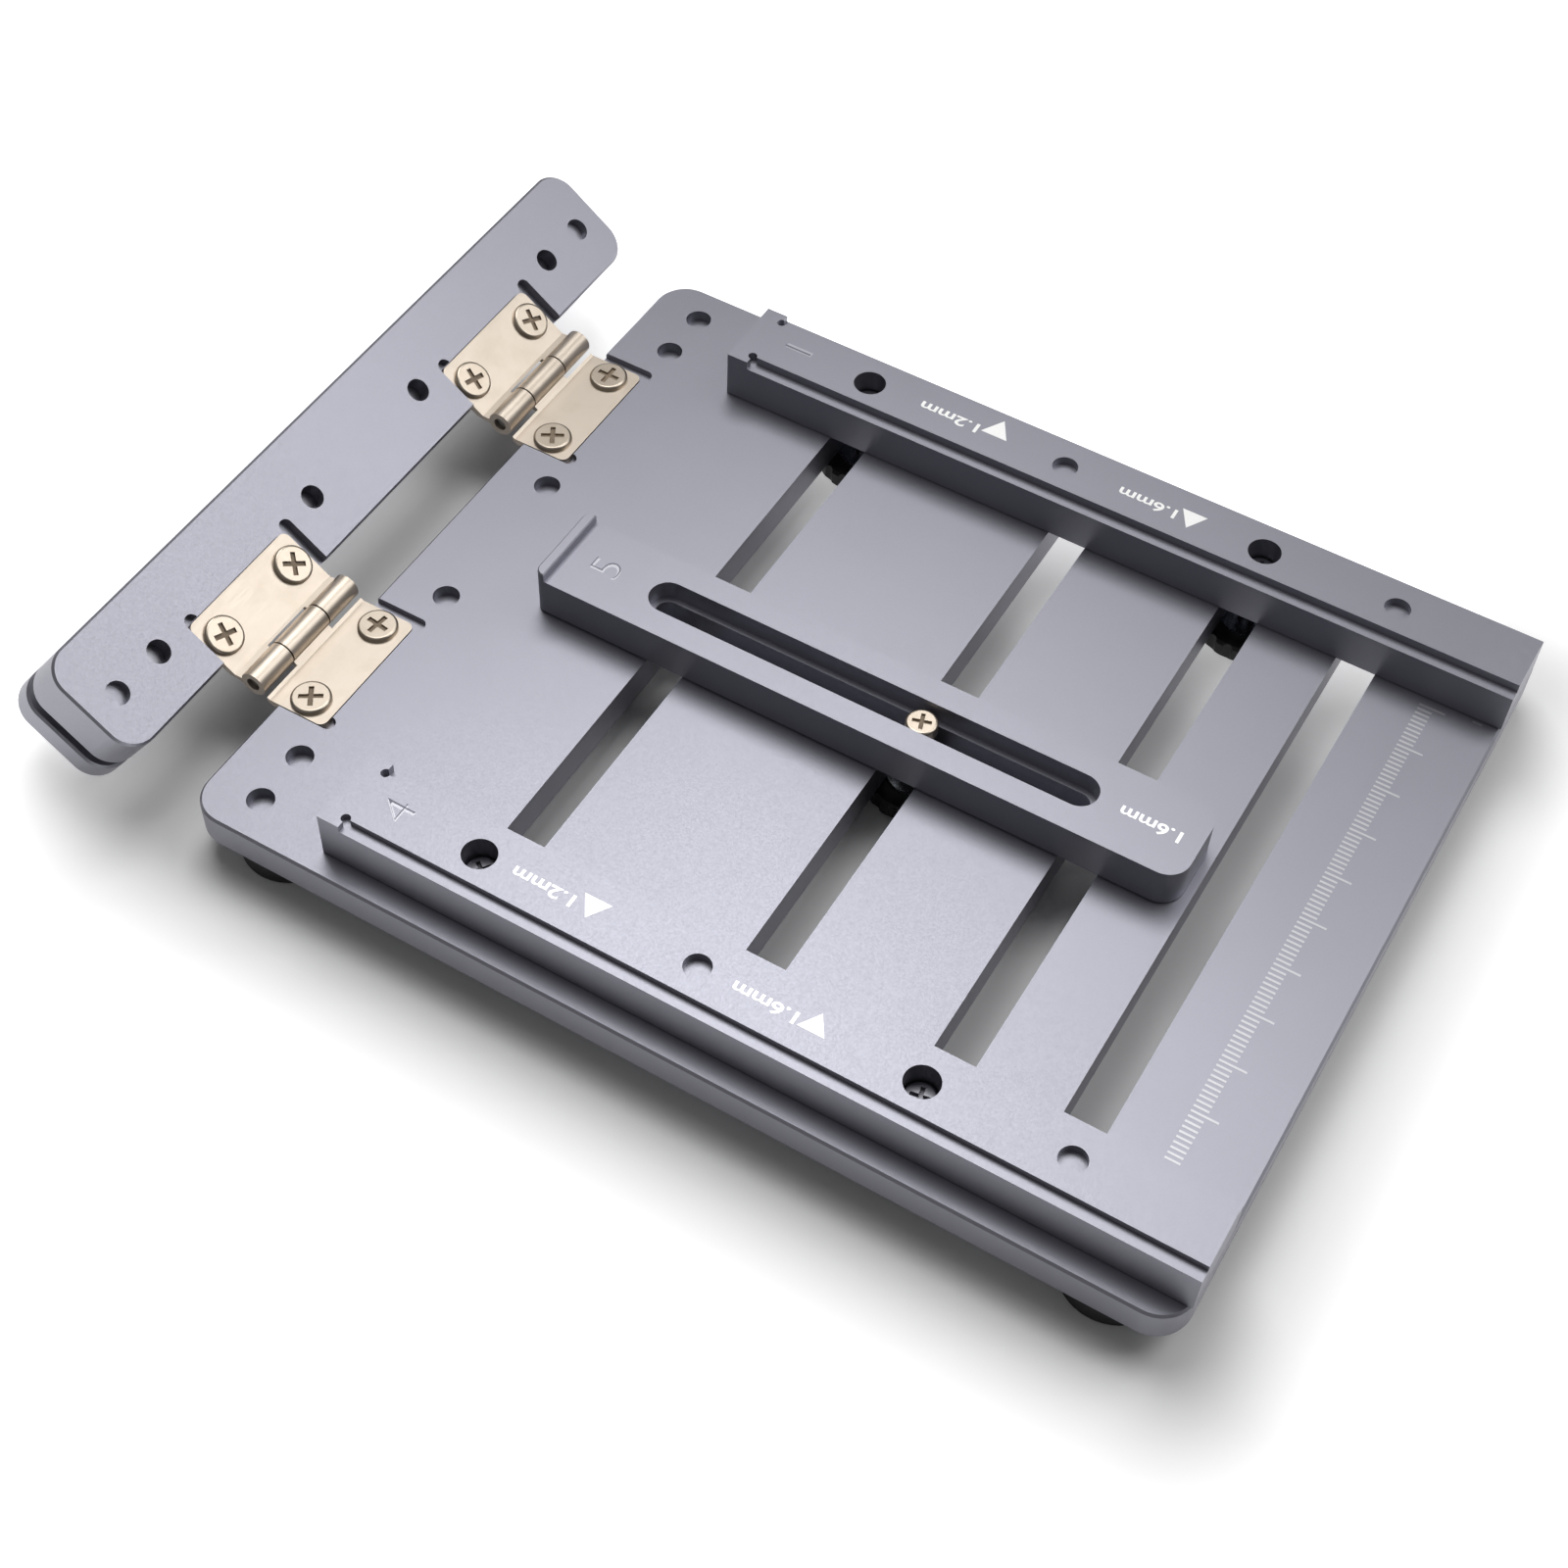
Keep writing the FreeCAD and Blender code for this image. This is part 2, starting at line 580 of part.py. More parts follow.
def make_fastener(pattern, x, y, seat, turn):
    """A fixing screw from its seat down through a slot, with a washer and a thumb nut under the base."""
    tip = f"({NUT_TOP} - nut_height + nut_chamfer)"
    place(screw(pattern.format("screw"), "rail_shank", f"{seat} - {tip}", "rail_head_radius",
                "rail_head_height", turn), x, y, seat)
    washer = turned(pattern.format("washer"), [
        ("rail_shank + screw_clearance", "0"), ("washer_radius", "0"),
        ("washer_radius", "washer_thickness"), ("rail_shank + screw_clearance", "washer_thickness")])
    place(washer, x, y, f"{WASHER_TOP} - washer_thickness")
    nut = turned(pattern.format("nut"), [
        ("rail_shank + running_fit", "0"), ("nut_radius", "0"),
        ("nut_radius", "nut_height"), ("rail_shank + running_fit", "nut_height")])
    rims = [edge for level in ("0", "nut_height") for edge in rim_edges(nut, level)
            if nut.Tip.Shape.Edges[int(edge[4:]) - 1].Curve.Radius > value("washer_radius")]
    dress(nut, "PartDesign::Chamfer", "NutRims", rims, "Size", "nut_chamfer")
    pocket(nut, Outline(nut, "FluteOutline", "nut_height").circle("nut_radius + flute_radius / 2", "0",
                                                                  "flute_radius"), "Flute")
    flutes = nut.newObject("PartDesign::PolarPattern", "Flutes")
    flutes.Originals = [nut.Tip]
    flutes.Axis = ([item for item in nut.Origin.OriginFeatures if item.Role == "Z_Axis"][0], [""])
    flutes.Angle = 360
    flutes.Occurrences = FLUTES
    nut.Tip = flutes
    doc.recompute()
    place(nut, x, y, f"{NUT_TOP} - nut_height")


def make_centre_support():
    """The slotted centre bar with its end lip, and the screw carriage that rides in the middle slot."""
    x = "(-centre_x)"
    body = new_body("centre_bar")
    pad(body, Outline(body, "BarOutline").rectangle(
        "-centre_width / 2", "centre_width / 2", "0", "centre_length"), "Bar", "rail_height")
    round_corners(body, "centre_front_corner", lambda x, y: y < value("centre_length / 2"))
    round_corners(body, "centre_rear_corner", lambda x, y: y > value("centre_length / 2"))
    pocket(body, Outline(body, "LipOutline", "rail_height").rectangle(
        "-centre_width / 2 - cut_over", "centre_width / 2 + cut_over", "-cut_over", "centre_length - centre_lip"),
        "BoardSeat", "rail_step_inner")
    break_edges(body, ("0", "rail_height"), "edge_chamfer / 2")
    ends = [("0", "centre_slot_margin + centre_slot_radius"),
            ("0", "centre_length - centre_slot_margin - centre_slot_radius")]
    pocket(body, Outline(body, "HeadSlotOutline", CENTRE_HEIGHT).obround(*ends, "centre_slot_radius"),
           "HeadSlot", "centre_slot_step")
    pocket(body, Outline(body, "ShankSlotOutline", CENTRE_HEIGHT).obround(*ends, "centre_slot_inner"), "ShankSlot")
    place(body, x, f"{FRONT_Y} + centre_front", SLIDE_LEVEL)

    y = f"{FRONT_Y} + centre_slot"
    seat = f"({SLIDE_LEVEL} + {CENTRE_HEIGHT} - centre_slot_step + slide_gap)"
    make_fastener("centre_{}", x, y, seat, 18)
    length = "(base_thickness - slide_gap)"
    bush = turned("centre_bush", [
        ("rail_shank + screw_clearance", "0"), ("slot_width / 2 - slide_gap", "0"),
        ("slot_width / 2 - slide_gap", length), ("rail_shank + screw_clearance", length)])
    place(bush, x, y, WASHER_TOP)


make_base_plate()
make_feet()
make_hinges()
make_foil_clamp()
make_rail("left", 1, "(rail_left_inset - base_width / 2)")
make_rail("right", -1, "(base_width / 2 - rail_right_inset)")
make_centre_support()
doc.recompute()

for item in doc.Objects:
    if "Invalid" in item.State or "Error" in item.State:
        raise RuntimeError(f"{item.Label} did not compute: {item.State}")
os.makedirs("parts", exist_ok=True)
for body in made:
    if body.Shape.isNull() or not body.Shape.isValid() or len(body.Shape.Solids) != 1:
        raise RuntimeError(f"{body.Label} is not one sound solid")
for body in made:
    body.Shape.exportStep(f"parts/{body.Label}.step")
    box = body.Shape.BoundBox
    print(f"{body.Label}: {body.Shape.Volume:.1f} mm3, X {box.XMin:.2f} to {box.XMax:.2f},"
          f" Y {box.YMin:.2f} to {box.YMax:.2f}, Z {box.ZMin:.2f} to {box.ZMax:.2f}")
print(f"{len(made)} sub-parts")
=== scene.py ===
"""A manual stencil printer on a pale table: finishes, printed markings, light and camera.

Every piece is in metres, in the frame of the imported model: Z up from the table, Y from the ruler edge to the
hinged clamp, X to the right as seen from the ruler edge.
"""

import json
import logging
import math
from dataclasses import dataclass, field
from enum import Enum
from typing import Any, Iterable

import bpy
from mathutils import Matrix, Vector


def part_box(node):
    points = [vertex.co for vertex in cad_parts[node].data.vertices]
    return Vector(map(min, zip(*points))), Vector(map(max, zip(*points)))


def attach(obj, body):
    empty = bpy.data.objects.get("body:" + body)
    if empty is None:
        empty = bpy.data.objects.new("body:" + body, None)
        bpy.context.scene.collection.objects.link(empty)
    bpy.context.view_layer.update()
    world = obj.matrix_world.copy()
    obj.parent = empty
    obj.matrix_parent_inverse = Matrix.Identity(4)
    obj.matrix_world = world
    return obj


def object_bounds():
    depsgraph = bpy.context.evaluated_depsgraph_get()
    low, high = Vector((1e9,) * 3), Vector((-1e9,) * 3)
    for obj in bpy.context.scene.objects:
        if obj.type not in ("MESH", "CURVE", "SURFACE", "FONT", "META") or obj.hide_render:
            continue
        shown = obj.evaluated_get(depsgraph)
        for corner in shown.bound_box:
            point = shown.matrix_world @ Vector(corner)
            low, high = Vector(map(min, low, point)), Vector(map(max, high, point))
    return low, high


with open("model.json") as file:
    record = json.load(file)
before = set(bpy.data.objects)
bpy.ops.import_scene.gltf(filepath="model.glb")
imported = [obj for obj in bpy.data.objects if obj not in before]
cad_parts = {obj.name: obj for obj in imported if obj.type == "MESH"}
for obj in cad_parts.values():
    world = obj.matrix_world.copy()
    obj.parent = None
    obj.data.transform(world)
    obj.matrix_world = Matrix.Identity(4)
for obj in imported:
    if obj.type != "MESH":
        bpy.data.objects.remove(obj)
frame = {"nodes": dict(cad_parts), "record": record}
CAD_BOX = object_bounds()

MM = 0.001
LOG = logging.getLogger("stencil_printer")


def linear(code: str) -> tuple[float, float, float, float]:
    """Turn an sRGB hex colour into the linear one that a shader takes.

    Args:
        code: six hex digits, with or without a leading #.

    Returns:
        Linear red, green, blue and an alpha of 1.
    """
    digits = code.lstrip("#")
    channels = [int(digits[i:i + 2], 16) / 255 for i in (0, 2, 4)]
    return (*[c / 12.92 if c <= 0.04045 else ((c + 0.055) / 1.055) ** 2.4 for c in channels], 1.0)


def add_node(tree: bpy.types.NodeTree, kind: str, inputs: dict[Any, Any] | None = None,
             **settings: Any) -> bpy.types.Node:
    """Add a node with its settings and fill or link its inputs.

    Args:
        tree: the node tree that takes it.
        kind: the node's type name.
        inputs: for a socket's name or number, a value or the output socket that feeds it.
        **settings: properties of the node itself.

    Returns:
        The new node.
    """
    node = tree.nodes.new(kind)
    for name, setting in settings.items():
        setattr(node, name, setting)
    for name, source in (inputs or {}).items():
        if isinstance(source, bpy.types.NodeSocket):
            tree.links.new(source, node.inputs[name])
        else:
            node.inputs[name].default_value = source
    return node


def new_material(name: str) -> tuple[bpy.types.Material, bpy.types.NodeTree, bpy.types.Node]:
    """Make a material with a Principled shader wired to its output.

    Args:
        name: the finish's name.

    Returns:
        The material, its node tree and its Principled node.
    """
    material = bpy.data.materials.new(name)
    material.use_nodes = True
    tree = material.node_tree
    tree.nodes.clear()
    shader = add_node(tree, "ShaderNodeBsdfPrincipled")
    add_node(tree, "ShaderNodeOutputMaterial", {"Surface": shader.outputs[0]})
    return material, tree, shader


def object_coordinates(tree: bpy.types.NodeTree) -> bpy.types.NodeSocket:
    """The place of a point on the object, in metres."""
    return add_node(tree, "ShaderNodeTexCoord").outputs["Object"]


def ramp(tree: bpy.types.NodeTree, value: bpy.types.NodeSocket, span: tuple[float, float],
         onto: tuple[float, float] = (0.0, 1.0), eased: bool = False) -> bpy.types.NodeSocket:
    """Map one range of a value onto another, and hold it at both ends.

    Args:
        tree: the node tree that takes the node.
        value: what is mapped.
        span: where the range starts and ends.
        onto: the results at the start and at the end.
        eased: whether the result leaves one end and reaches the other gently.

    Returns:
        The mapped value.
    """
    return add_node(tree, "ShaderNodeMapRange", {
        "Value": value, "From Min": span[0], "From Max": span[1], "To Min": onto[0], "To Max": onto[1]},
        interpolation_type="SMOOTHSTEP" if eased else "LINEAR").outputs[0]


def combine(tree: bpy.types.NodeTree, operation: str, first: bpy.types.NodeSocket,
            second: bpy.types.NodeSocket | float) -> bpy.types.NodeSocket:
    """One number made of two, by the operation that is named."""
    return add_node(tree, "ShaderNodeMath", {0: first, 1: second}, operation=operation).outputs[0]


@dataclass(frozen=True)
class BlastedAnodising:
    """Aluminium, bead-blasted and dyed in a sulphuric anodising bath.

    The blasting leaves fine dimples that scatter the light into a soft sheen, and the dyed oxide over them
    is a cool grey that is never quite even from one end of a plate to the other.
    """

    name: str = "bead_blasted_anodised_aluminium"
    colour: str = "#9B9BA5"
    cloud_colour: str = "#93939C"
    roughness: float = 0.42
    dimple_mm: float = 0.35
    dimple_depth_mm: float = 0.006
    cloud_mm: float = 38.0

    def build(self) -> bpy.types.Material:
        """Make the material."""
        material, tree, shader = new_material(self.name)
        place = object_coordinates(tree)
        clouds = add_node(tree, "ShaderNodeTexNoise", {
            "Vector": place, "Scale": 1 / (self.cloud_mm * MM), "Detail": 3.0, "Roughness": 0.55})
        tone = add_node(tree, "ShaderNodeMix", {
            0: clouds.outputs[0], 6: linear(self.colour), 7: linear(self.cloud_colour)}, data_type="RGBA")
        # Drawn coarser than real blasting, whose 0.1 mm dimples would not show at this distance
        dimples = add_node(tree, "ShaderNodeTexNoise", {
            "Vector": place, "Scale": 1 / (self.dimple_mm * MM), "Detail": 2.0, "Roughness": 0.6})
        gloss = ramp(tree, dimples.outputs[0], (0.3, 0.7), (self.roughness - 0.04, self.roughness + 0.04))
        relief = add_node(tree, "ShaderNodeBump", {
            "Height": dimples.outputs[0], "Strength": 0.5, "Distance": self.dimple_depth_mm * MM})
        tree.links.new(tone.outputs[2], shader.inputs["Base Color"])
        tree.links.new(gloss, shader.inputs["Roughness"])
        tree.links.new(relief.outputs[0], shader.inputs["Normal"])
        shader.inputs["Metallic"].default_value = 0.85
        return material


@dataclass(frozen=True)
class PlatedSteel:
    """Rolled or headed steel under a bright plate: nickel is warm, zinc is bluish.

    The plate follows the strip's faint rolling lines, which stretch each reflection along the part, and it
    keeps small stains from the plating bath.
    """

    name: str
    colour: str
    stain_colour: str
    roughness: float
    grain_mm: float = 0.25
    grain_depth_mm: float = 0.004
    stain_mm: float = 6.0
    grain_stretch: float = 0.06

    def build(self) -> bpy.types.Material:
        """Make the material."""
        material, tree, shader = new_material(self.name)
        place = object_coordinates(tree)
        stains = add_node(tree, "ShaderNodeTexNoise", {
            "Vector": place, "Scale": 1 / (self.stain_mm * MM), "Detail": 4.0, "Roughness": 0.6})
        patch = ramp(tree, stains.outputs[0], (0.45, 0.75), (0.0, 0.6))
        tone = add_node(tree, "ShaderNodeMix", {
            0: patch, 6: linear(self.colour), 7: linear(self.stain_colour)}, data_type="RGBA")
        along = add_node(tree, "ShaderNodeMapping", {
            "Vector": place, "Scale": (self.grain_stretch, 1.0, 1.0)})
        grain = add_node(tree, "ShaderNodeTexNoise", {
            "Vector": along.outputs[0], "Scale": 1 / (self.grain_mm * MM), "Detail": 2.0})
        gloss = ramp(tree, grain.outputs[0], (0.0, 1.0), (self.roughness - 0.04, self.roughness + 0.06))
        relief = add_node(tree, "ShaderNodeBump", {
            "Height": grain.outputs[0], "Strength": 0.4, "Distance": self.grain_depth_mm * MM})
        tree.links.new(tone.outputs[2], shader.inputs["Base Color"])
        tree.links.new(gloss, shader.inputs["Roughness"])
        tree.links.new(relief.outputs[0], shader.inputs["Normal"])
        shader.inputs["Metallic"].default_value = 1.0
        return material


@dataclass(frozen=True)
class MouldedBlack:
    """Black rubber, nylon or ABS as it comes out of its mould or off the lathe.

    The mould's fine texture keeps the surface from shining, and dust in the hollows greys it a little.
    """

    name: str
    colour: str
    dust_colour: str
    roughness: float
    texture_mm: float = 0.5
    texture_depth_mm: float = 0.02

    def build(self) -> bpy.types.Material:
        """Make the material."""
        material, tree, shader = new_material(self.name)
        place = object_coordinates(tree)
        texture = add_node(tree, "ShaderNodeTexNoise", {
            "Vector": place, "Scale": 1 / (self.texture_mm * MM), "Detail": 3.0, "Roughness": 0.6})
        dust = ramp(tree, texture.outputs[0], (0.5, 0.75))
        tone = add_node(tree, "ShaderNodeMix", {
            0: dust, 6: linear(self.colour), 7: linear(self.dust_colour)}, data_type="RGBA")
        relief = add_node(tree, "ShaderNodeBump", {
            "Height": texture.outputs[0], "Strength": 0.6, "Distance": self.texture_depth_mm * MM})
        tree.links.new(tone.outputs[2], shader.inputs["Base Color"])
        tree.links.new(relief.outputs[0], shader.inputs["Normal"])
        shader.inputs["Roughness"].default_value = self.roughness
        return material


@dataclass(frozen=True)
class LaserMark:
    """The oxide bleached by a marking laser, hatched in rows closer than the eye can part."""

    name: str = "laser_bleached_oxide"
    colour: str = "#FAFAF8"
    thin_colour: str = "#ECECEC"
    roughness: float = 0.45
    metallic: float = 0.7
    hatch_mm: float = 0.3

    def build(self) -> bpy.types.Material:
        """Make the material."""
        material, tree, shader = new_material(self.name)
        hatch = add_node(tree, "ShaderNodeTexNoise", {
            "Vector": object_coordinates(tree), "Scale": 1 / (self.hatch_mm * MM), "Detail": 2.0})
        tone = add_node(tree, "ShaderNodeMix", {
            0: hatch.outputs[0], 6: linear(self.colour), 7: linear(self.thin_colour)}, data_type="RGBA")
        tree.links.new(tone.outputs[2], shader.inputs["Base Color"])
        shader.inputs["Roughness"].default_value = self.roughness
        shader.inputs["Metallic"].default_value = self.metallic
        return material


ANODISED = BlastedAnodising()
# Painted light and painted shade: the two walls of an engraved groove, laid flat on the face
PAINTED_GROOVE_SHADE = BlastedAnodising(name="painted_groove_shade_wall", colour="#82838E", cloud_colour="#777883",
                            roughness=0.6)
PAINTED_GROOVE_LIGHT = BlastedAnodising(name="painted_groove_lit_wall", colour="#B9B9C0", cloud_colour="#B0B0B7")
NICKEL_LEAF = PlatedSteel("bright_nickel_plate", "#C6BBAE", "#B7AB9B", 0.42)
NICKEL_SCREW = PlatedSteel("nickel_plated_screw", "#B9AEA0", "#A69A8A", 0.36, grain_stretch=1.0)
BLACK_OXIDE = PlatedSteel("black_oxide_steel", "#85858B", "#66666C", 0.32, grain_stretch=1.0)
GROUND_STEEL = PlatedSteel("ground_steel_pin", "#8D8B88", "#6E6A66", 0.3)
DOWEL_STEEL = PlatedSteel("hardened_dowel_steel", "#A9AAAC", "#8A8B8E", 0.25)
BRIGHT_ZINC = PlatedSteel("bright_zinc_plate", "#C3C8CF", "#A8AEB8", 0.25, grain_stretch=1.0)
FOOT_RUBBER = MouldedBlack("moulded_foot_rubber", "#151517", "#2A2A2C", 0.85)
NUT_PLASTIC = MouldedBlack("moulded_thumb_nut_plastic", "#131315", "#202023", 0.5, texture_mm=0.8)
BUSH_NYLON = MouldedBlack("turned_black_nylon", "#1B1B1E", "#2C2C30", 0.55)
LASER = LaserMark()
FAINT_LASER = LaserMark(name="laser_thinned_oxide", colour="#C2C2C6", thin_colour="#B2B2B6", roughness=0.42,
                        metallic=0.85)
# Painted shade: a brown film laid on the floor of each screw's cross recess, where the recess is dark
RECESS_SHADE = MouldedBlack("shaded_cross_recess", "#84735F", "#96856F", 0.6)

SLOT_FINISHES = {
    "anodised_aluminium": ANODISED,
    "nickel_plate": NICKEL_LEAF,
    "nickel_screw": NICKEL_SCREW,
    "black_oxide_screw": BLACK_OXIDE,
    "steel_pin": GROUND_STEEL,
    "rubber_foot": FOOT_RUBBER,
    "black_thumb_nut": NUT_PLASTIC,
    "zinc_washer": BRIGHT_ZINC,
    "nylon_bush": BUSH_NYLON,
    "steel_dowel": DOWEL_STEEL,
}


@dataclass
class FinishShelf:
    """Every finish, mixed once and handed out by name."""

    mixed: dict[str, bpy.types.Material] = field(default_factory=dict)

    def take(self, finish: Any) -> bpy.types.Material:
        """The material of a finish, built the first time that it is asked for."""
        if finish.name not in self.mixed:
            self.mixed[finish.name] = finish.build()
        return self.mixed[finish.name]

    def dress_frame(self) -> None:
        """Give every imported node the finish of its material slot."""
        slots = {part["node"]: part["material_slot"] for part in frame["record"]["subparts"]}
        for node, solid in frame["nodes"].items():
            material = self.take(SLOT_FINISHES[slots[node]])
            solid.data.materials.clear()
            solid.data.materials.append(material)
            LOG.info("%s wears %s", node, material.name)


def deselect_all() -> None:
    """Leave nothing selected."""
    bpy.ops.object.select_all(action="DESELECT")


def active_object() -> bpy.types.Object:
    """The object that the last operator made."""
    return bpy.context.view_layer.objects.active


def make_active(piece: bpy.types.Object) -> None:
    """Select one piece alone."""
    deselect_all()
    piece.select_set(True)
    bpy.context.view_layer.objects.active = piece


def settle(piece: bpy.types.Object) -> None:
    """Bring a piece's place, turn and size into its mesh, so that its object stands at the origin."""
    make_active(piece)
    bpy.ops.object.transform_apply(location=True, rotation=True, scale=True)


def join(pieces: Iterable[bpy.types.Object], name: str) -> bpy.types.Object:
    """Make one mesh of several.

    Args:
        pieces: the meshes, the first of which takes the others.
        name: the name of the result.

    Returns:
        The joined piece.
    """
    pieces = list(pieces)
    make_active(pieces[0])
    for piece in pieces[1:]:
        piece.select_set(True)
    bpy.ops.object.join()
    result = active_object()
    result.name = name
    return result


def fit_out(piece: bpy.types.Object, body: str, material: bpy.types.Material) -> None:
    """Give a finished piece its material and the body that carries it."""
    piece.data.materials.clear()
    piece.data.materials.append(material)
    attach(piece, body)
    LOG.info("%s rides on %s", piece.name, body)


class Pointing(Enum):
    """Which way a triangle beside a board thickness points, along X."""

    LEFT = -1
    RIGHT = 1


@dataclass
class Marking:
    """Flat marks on one level face: bleached lettering, triangles and scale lines."""

    level: float
    film: float = 0.03 * MM

    def bar(self, x: float, y: float, width: float, length: float) -> bpy.types.Object:
        """One line mark.

        Args:
            x: its middle along X.
            y: its near end along Y.
            width: its breadth along X.
            length: its run along Y.

        Returns:
            The mark.
        """
        deselect_all()
        bpy.ops.mesh.primitive_cube_add(size=1, location=(x, y + length / 2, self.level + self.film / 2))
        mark = active_object()
        mark.scale = (width, length, self.film)
        settle(mark)
        return mark

    def triangle(self, base: tuple[float, float], side: float, height: float,
                 pointing: Pointing) -> bpy.types.Object:
        """A filled triangle.

        Args:
            base: the middle of its base.
            side: the length of the base.
            height: from the base to the tip.
            pointing: which way the tip lies.

        Returns:
            The mark.
        """
        deselect_all()
        bpy.ops.mesh.primitive_circle_add(vertices=3, radius=1, fill_type="NGON", location=(0, 0, 0))
        mark = active_object()
        tip_first = sorted(mark.data.vertices, key=lambda v: -v.co.y)
        tip_first[0].co = (pointing.value * height, 0, 0)
        tip_first[1].co = (0, side / 2, 0)
        tip_first[2].co = (0, -side / 2, 0)
        self.thicken(mark)
        mark.matrix_world = Matrix.Translation((*base, self.level))
        settle(mark)
        return mark

    def cross(self, reach: float, half: float) -> bpy.types.Object:
        """The floor of a cross recess, around the origin, as a film of painted shade.

        Args:
            reach: from the middle to the end of each arm.
            half: half the breadth of an arm.

        Returns:
            The mark, still to be set in its place.
        """
        deselect_all()
        bpy.ops.mesh.primitive_circle_add(vertices=12, radius=1, fill_type="NGON", location=(0, 0, 0))
        mark = active_object()
        arm = ((half, -half), (reach, -half), (reach, half))
        for number, vertex in enumerate(mark.data.vertices):
            quarter = Matrix.Rotation(math.radians(90 * (number // 3)), 2)
            vertex.co = (*(quarter @ Vector(arm[number % 3])), self.level)
        self.thicken(mark)
        return mark

    def thicken(self, mark: bpy.types.Object) -> None:
        """Give a flat mark its film, standing up from Z = 0, with its faces outward."""
        make_active(mark)
        bpy.ops.object.mode_set(mode="EDIT")
        bpy.ops.mesh.select_all(action="SELECT")
        bpy.ops.mesh.extrude_region_move(TRANSFORM_OT_translate={"value": (0, 0, self.film)})
        bpy.ops.mesh.select_all(action="SELECT")
        bpy.ops.mesh.normals_make_consistent(inside=False)
        bpy.ops.object.mode_set(mode="OBJECT")

    def lettering(self, text: str, start: tuple[float, float], height: float, length: float,
                  turn: float = math.pi / 2, weight: float = 0.0) -> bpy.types.Object:
        """Letters cut to a length, read along +Y with their tops towards -X unless turned otherwise.

        Args:
            text: the characters.
            start: the lower left corner of the first character as it is read.
            height: of a figure.
            length: of the whole line.
            turn: of the reading direction about Z.
            weight: how far the strokes are thickened.

        Returns:
            The mark.
        """
        deselect_all()
        bpy.ops.object.text_add(location=(0, 0, 0))
        words = active_object()
        words.data.body = text
        words.data.size = 1.0
        words.data.offset = weight
        words.data.resolution_u = 4
        words.data.extrude = 0.5
        make_active(words)
        bpy.ops.object.convert(target="MESH")
        mark = active_object()
        xs = [v.co.x for v in mark.data.vertices]
        ys = [v.co.y for v in mark.data.vertices]
        zs = [v.co.z for v in mark.data.vertices]
        squeeze = Matrix.Diagonal((length / (max(xs) - min(xs)), height / (max(ys) - min(ys)),
                                   self.film / (max(zs) - min(zs)), 1))
        mark.data.transform(squeeze @ Matrix.Translation((-min(xs), -min(ys), -min(zs))))
        mark.matrix_world = Matrix.Translation((*start, self.level)) @ Matrix.Rotation(turn, 4, "Z")
        settle(mark)
        return mark


@dataclass
class EngravedFigure:
    """A figure milled into a level face, drawn flat: painted light for the groove's lit wall, and painted shade
    for its shaded wall beside it.
    """

    shelf: FinishShelf
    text: str
    level: float
    height: float = 5.1 * MM
    film: float = 0.02 * MM
    lit_weight: float = -0.012
    shade_weight: float = -0.034
    shift: tuple[float, float] = (-0.24 * MM, -0.2 * MM)
    bar_breadth: float = 1.5 * MM
    bar_shade: float = 0.35

    def build(self, name: str, body: str, corner: tuple[float, float], width: float) -> None:
        """Paint both walls of the groove, as painted light and painted shade, read along +X.

        Args:
            name: the start of the pieces' names.
            body: the rigid body that carries them.
            corner: the figure's lower left corner.
            width: the figure's breadth.
        """
        # Painted light: a paler film, shifted to one side, stands for the groove's lit wall
        lit = Marking(self.level, self.film).lettering(
            self.text, (corner[0] + self.shift[0], corner[1] + self.shift[1]), self.height, width,
            turn=0.0, weight=self.lit_weight)
        lit.name = f"{name}_lit_wall"
        fit_out(lit, body, self.shelf.take(PAINTED_GROOVE_LIGHT))
        # A figure that is one plain bar shows more of its lit wall
        breadth = width * self.bar_shade if width < self.bar_breadth else width
        # Painted shade: a darker film over it stands for the groove's shaded wall
        shaded = Marking(self.level + self.film, self.film).lettering(
            self.text, corner, self.height, breadth, turn=0.0, weight=self.shade_weight)
        shaded.name = f"{name}_shaded_wall"
        fit_out(shaded, body, self.shelf.take(PAINTED_GROOVE_SHADE))


@dataclass
class BasePlate:
    """The slotted plate with its millimetre scale."""

    shelf: FinishShelf
    tick_width: float = 0.4 * MM
    tick_length: float = 2.5 * MM
    long_tick: float = 4.5 * MM
    scale_line: float = 13.5 * MM
    scale_half: float = 50.0 * MM
    scale_end: float = -49.0 * MM
    end_mark_at: tuple[float, float] = (51.1 * MM, 3.0 * MM)
    end_mark_size: tuple[float, float] = (0.35 * MM, 1.6 * MM)

    def build(self) -> None:
        """Print the scale, whose ticks run from one inner line towards the front edge, and the end mark."""
        low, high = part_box("base_plate")
        marks = Marking(high.z)
        line = low.y + self.scale_line
        pieces = []
        steps = round((self.scale_half - self.scale_end) / MM)
        for step in range(steps + 1):
            x = self.scale_half - step * MM
            length = self.long_tick if step % 10 == 0 else self.tick_length
            pieces.append(marks.bar(x, line - length, self.tick_width, length))
        x, y = self.end_mark_at
        pieces.append(marks.bar(x, low.y + y, *self.end_mark_size))
        scale = join(pieces, "millimetre_scale")
        fit_out(scale, "base", self.shelf.take(FAINT_LASER))


BOARD_TEXT_WEIGHT = 0.02


@dataclass(frozen=True)
class RailMarks:
    """Where the marks of one rail stand, in mm: X from the rail's middle, and Y from its front end.

    The number has a corner and a width, each text a near and a far end, and each triangle the middle of its
    base, the base's length and the height.
    """

    number: str
    number_at: tuple[float, float, float]
    thin_text: tuple[float, float, float]
    thin_tip: tuple[float, float, float, float]
    thick_text: tuple[float, float, float]
    thick_tip: tuple[float, float, float, float]
    thin_points: Pointing
    thick_points: Pointing


